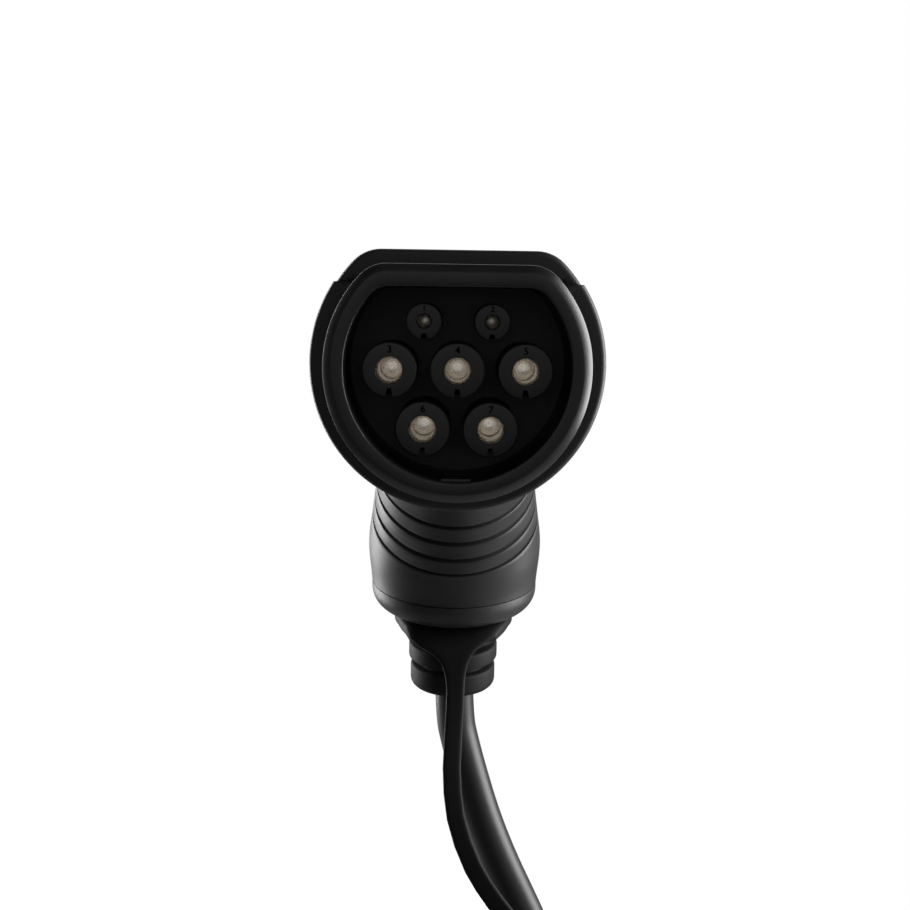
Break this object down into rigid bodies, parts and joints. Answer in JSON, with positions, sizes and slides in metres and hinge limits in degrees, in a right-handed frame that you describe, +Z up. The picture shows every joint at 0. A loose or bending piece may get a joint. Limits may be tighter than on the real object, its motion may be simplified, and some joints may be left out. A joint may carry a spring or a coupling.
{
  "type": "portable ev charger",
  "caption": "Hand-held vehicle connector on a charging cable, with grooved grip, ribbed strain relief, tethered dust cap and a plain in-cable control box on the coiled cable.",
  "frame": {"origin": "middle of the mouth of the earth contact's socket, where the car's pin enters", "axes": "+X to the right as the car sees the connector, +Y into the connector along the pins, +Z up"},
  "size_m": [0.2231, 0.3505, 0.3762],
  "materials": {
    "housing_plastic": "fine-grained matte black",
    "carrier_plastic": "satin black",
    "rubber": "soft matte black",
    "contact_silver": "turned, silver plated",
    "screw_steel": "zinc plated",
    "spring_steel": "bright",
    "resistor_body": "lacquered",
    "core_blue": "smooth",
    "core_green": "smooth",
    "core_brown": "smooth",
    "core_black": "smooth",
    "core_grey": "smooth",
    "core_orange": "smooth",
    "cable_jacket": "smooth satin black",
    "window_plastic": "smooth dark",
    "board": "solder mask",
    "relay_plastic": "moulded",
    "gland_plastic": "moulded"
  },
  "bodies": {
    "root": {"collar": "housing_plastic", "contact_carrier": "carrier_plastic", "carrier_seal": "rubber", "contact_retainer": "carrier_plastic", "retainer_screws": "screw_steel", "contact_neutral": "contact_silver", "contact_earth": "contact_silver", "contact_line_1": "contact_silver", "contact_line_2": "contact_silver", "contact_line_3": "contact_silver", "contact_control_pilot": "contact_silver", "contact_proximity": "contact_silver", "contact_springs": "spring_steel", "coding_resistor": "resistor_body", "core_neutral": "core_blue", "core_earth": "core_green", "core_line_1": "core_brown", "core_line_2": "core_black", "core_line_3": "core_grey", "core_control_pilot": "core_orange", "lower_shell": "housing_plastic", "upper_shell": "housing_plastic", "shell_screws": "screw_steel", "cable_clamp": "carrier_plastic", "clamp_screws": "screw_steel", "tail_cap": "housing_plastic", "strain_relief": "rubber", "tether": "rubber", "dust_cap": "rubber", "cable": "cable_jacket", "cable_coil": "cable_jacket", "cable_to_box": "cable_jacket", "box_base": "housing_plastic", "box_lid": "housing_plastic", "box_seal": "rubber", "box_screws": "screw_steel", "status_window": "window_plastic", "circuit_board": "board", "relays": "relay_plastic", "current_sensor": "relay_plastic", "cable_gland": "gland_plastic", "supply_gland": "gland_plastic", "gland_nuts": "gland_plastic"}
  },
  "joints": []
}
